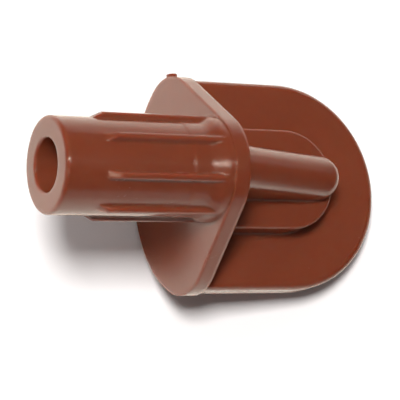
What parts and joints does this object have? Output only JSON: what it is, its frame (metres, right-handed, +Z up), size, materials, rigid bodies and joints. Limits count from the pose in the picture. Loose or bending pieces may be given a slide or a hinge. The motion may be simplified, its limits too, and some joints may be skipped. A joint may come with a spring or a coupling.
{
  "type": "shelf support pin",
  "caption": "Moulded plastic shelf support: a ribbed hollow pin, a shield-shaped wall flange and a round-ended shelf plate braced by a raised pad and a gusset.",
  "frame": {"origin": "on the surface it lies on, under the middle of its outline: it rests on the flange's lower arc and the far end of the plate, ribbed side up", "axes": "+X from the pin's tip towards the plate's end, +Y across the plate, +Z up; the pin's axis lies in the XZ plane and rises 19.2 degrees towards the tip"},
  "size_m": [0.0234, 0.0141, 0.0161],
  "materials": {
    "brown_plastic": "glossy as moulded, red-brown"
  },
  "bodies": {
    "root": {"shelf_support": "brown_plastic"}
  },
  "joints": []
}
